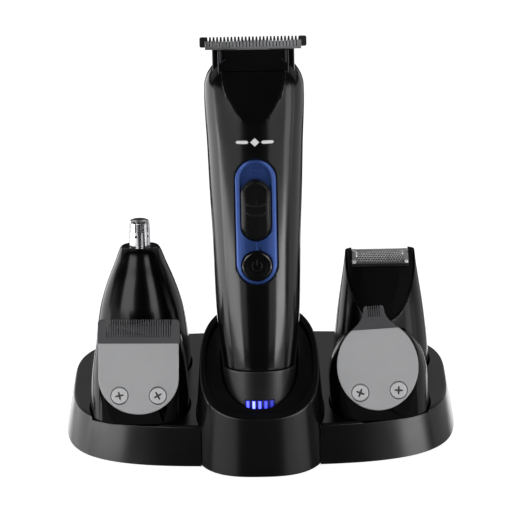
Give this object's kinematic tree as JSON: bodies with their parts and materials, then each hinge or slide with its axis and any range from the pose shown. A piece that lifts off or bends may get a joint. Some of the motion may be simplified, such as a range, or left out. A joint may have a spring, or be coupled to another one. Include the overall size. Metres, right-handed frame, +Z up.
{
  "type": "beard trimmer in charging dock",
  "caption": "Cordless beard trimmer with a T-shaped blade, leaning in a charging dock that also seats its spare nose, foil, wide and precision heads.",
  "frame": {"origin": "bottom centre of the bounding box, on the table", "axes": "+X to the right seen from the front, +Y to the back, +Z up"},
  "size_m": [0.1538, 0.0886, 0.1619],
  "materials": {
    "dock_gloss": "gloss",
    "body_gloss": "gloss",
    "head_gloss": "gloss",
    "satin_black": "satin",
    "rubber": "matt",
    "panel_blue": "metallic lacquer",
    "light_blue": "lit from inside",
    "contact_gold": "polished",
    "board_green": "satin",
    "cell_wrap": "shrink wrap",
    "motor_steel": "satin",
    "yoke_white": "satin",
    "blade_steel": "fine ground",
    "blade_dark": "dark ground",
    "plate_steel": "bead blasted satin",
    "foil_steel": "perforated",
    "tube_chrome": "polished",
    "screw_steel": "bright"
  },
  "bodies": {
    "dock": {"dock_shell": "dock_gloss", "dock_cup": "dock_gloss", "base_plate": "satin_black", "base_screws": "screw_steel", "rubber_feet": "rubber", "dc_inlet": "satin_black", "dock_circuit_board": "board_green", "charging_pins": "contact_gold"},
    "trimmer": {"body_front_shell": "body_gloss", "body_rear_shell": "body_gloss", "bottom_cap": "satin_black", "control_panel": "panel_blue", "charge_light": "light_blue", "charge_contacts": "contact_gold", "battery_cell": "cell_wrap", "circuit_board": "board_green", "motor": "motor_steel"},
    "crank": {"motor_crank": "motor_steel"},
    "switch": {"slide_switch": "satin_black"},
    "power_key": {"power_button": "satin_black"},
    "t_head": {"t_neck_housing": "body_gloss", "t_fixed_blade": "blade_dark", "t_blade_springs": "blade_steel", "t_blade_screws": "screw_steel"},
    "t_blade": {"t_moving_blade": "blade_steel", "t_drive_yoke": "yoke_white"},
    "nose_head": {"nose_housing": "head_gloss", "nose_socket": "satin_black", "nose_guard_tube": "tube_chrome"},
    "nose_cutter": {"nose_rotor": "blade_steel"},
    "foil_head": {"foil_housing": "head_gloss", "foil_socket": "satin_black", "foil_screen": "foil_steel", "foil_frame": "blade_steel"},
    "foil_blade": {"foil_cutter": "blade_steel", "foil_drive_yoke": "yoke_white"},
    "wide_head": {"wide_housing": "head_gloss", "wide_socket": "satin_black", "wide_fixed_blade": "plate_steel", "wide_screws": "screw_steel"},
    "wide_blade": {"wide_moving_blade": "blade_dark", "wide_drive_yoke": "yoke_white"},
    "precision_head": {"precision_housing": "head_gloss", "precision_socket": "satin_black", "precision_fixed_blade": "plate_steel", "precision_screws": "screw_steel"},
    "precision_blade": {"precision_moving_blade": "blade_dark", "precision_drive_yoke": "yoke_white"}
  },
  "joints": [
    {"name": "trimmer_lift", "type": "slide", "parent": "dock", "child": "trimmer", "axis": [0, 0.2419, 0.9703], "range_m": [0, 0.06]},
    {"name": "crank_spin", "type": "hinge", "parent": "trimmer", "child": "crank", "pos_m": [0, 0.00475, 0.13254], "axis": [0, 0.2419, 0.9703], "continuous": true},
    {"name": "switch_slide", "type": "slide", "parent": "trimmer", "child": "switch", "axis": [0, 0.2419, 0.9703], "range_m": [0, 0.005]},
    {"name": "power_press", "type": "slide", "parent": "trimmer", "child": "power_key", "axis": [0, 0.9703, -0.2419], "range_m": [0, 0.0006], "stiffness_N_per_m": 800, "springref_m": -0.0002},
    {"name": "t_head_pull", "type": "slide", "parent": "trimmer", "child": "t_head", "axis": [0, 0.2419, 0.9703], "range_m": [0, 0.025]},
    {"name": "t_blade_slide", "type": "slide", "parent": "t_head", "child": "t_blade", "axis": [1, 0, 0], "range_m": [-0.001, 0.001]},
    {"name": "nose_head_lift", "type": "slide", "parent": "dock", "child": "nose_head", "axis": [0, 0.2419, 0.9703], "range_m": [0, 0.04]},
    {"name": "nose_rotor_spin", "type": "hinge", "parent": "nose_head", "child": "nose_cutter", "pos_m": [-0.047, 0.02556, 0.04236], "axis": [0, 0.2419, 0.9703], "continuous": true},
    {"name": "foil_head_lift", "type": "slide", "parent": "dock", "child": "foil_head", "axis": [0, 0.2419, 0.9703], "range_m": [0, 0.04]},
    {"name": "foil_cutter_slide", "type": "slide", "parent": "foil_head", "child": "foil_blade", "axis": [1, 0, 0], "range_m": [-0.001, 0.001]},
    {"name": "wide_head_lift", "type": "slide", "parent": "dock", "child": "wide_head", "axis": [0.0186, 0.2419, 0.9701], "range_m": [0, 0.04]},
    {"name": "wide_blade_slide", "type": "slide", "parent": "wide_head", "child": "wide_blade", "axis": [0.9998, 0, -0.0192], "range_m": [-0.001, 0.001]},
    {"name": "precision_head_lift", "type": "slide", "parent": "dock", "child": "precision_head", "axis": [-0.0575, 0.2419, 0.9686], "range_m": [0, 0.04]},
    {"name": "precision_blade_slide", "type": "slide", "parent": "precision_head", "child": "precision_blade", "axis": [0.9982, 0, 0.0593], "range_m": [-0.001, 0.001]}
  ]
}
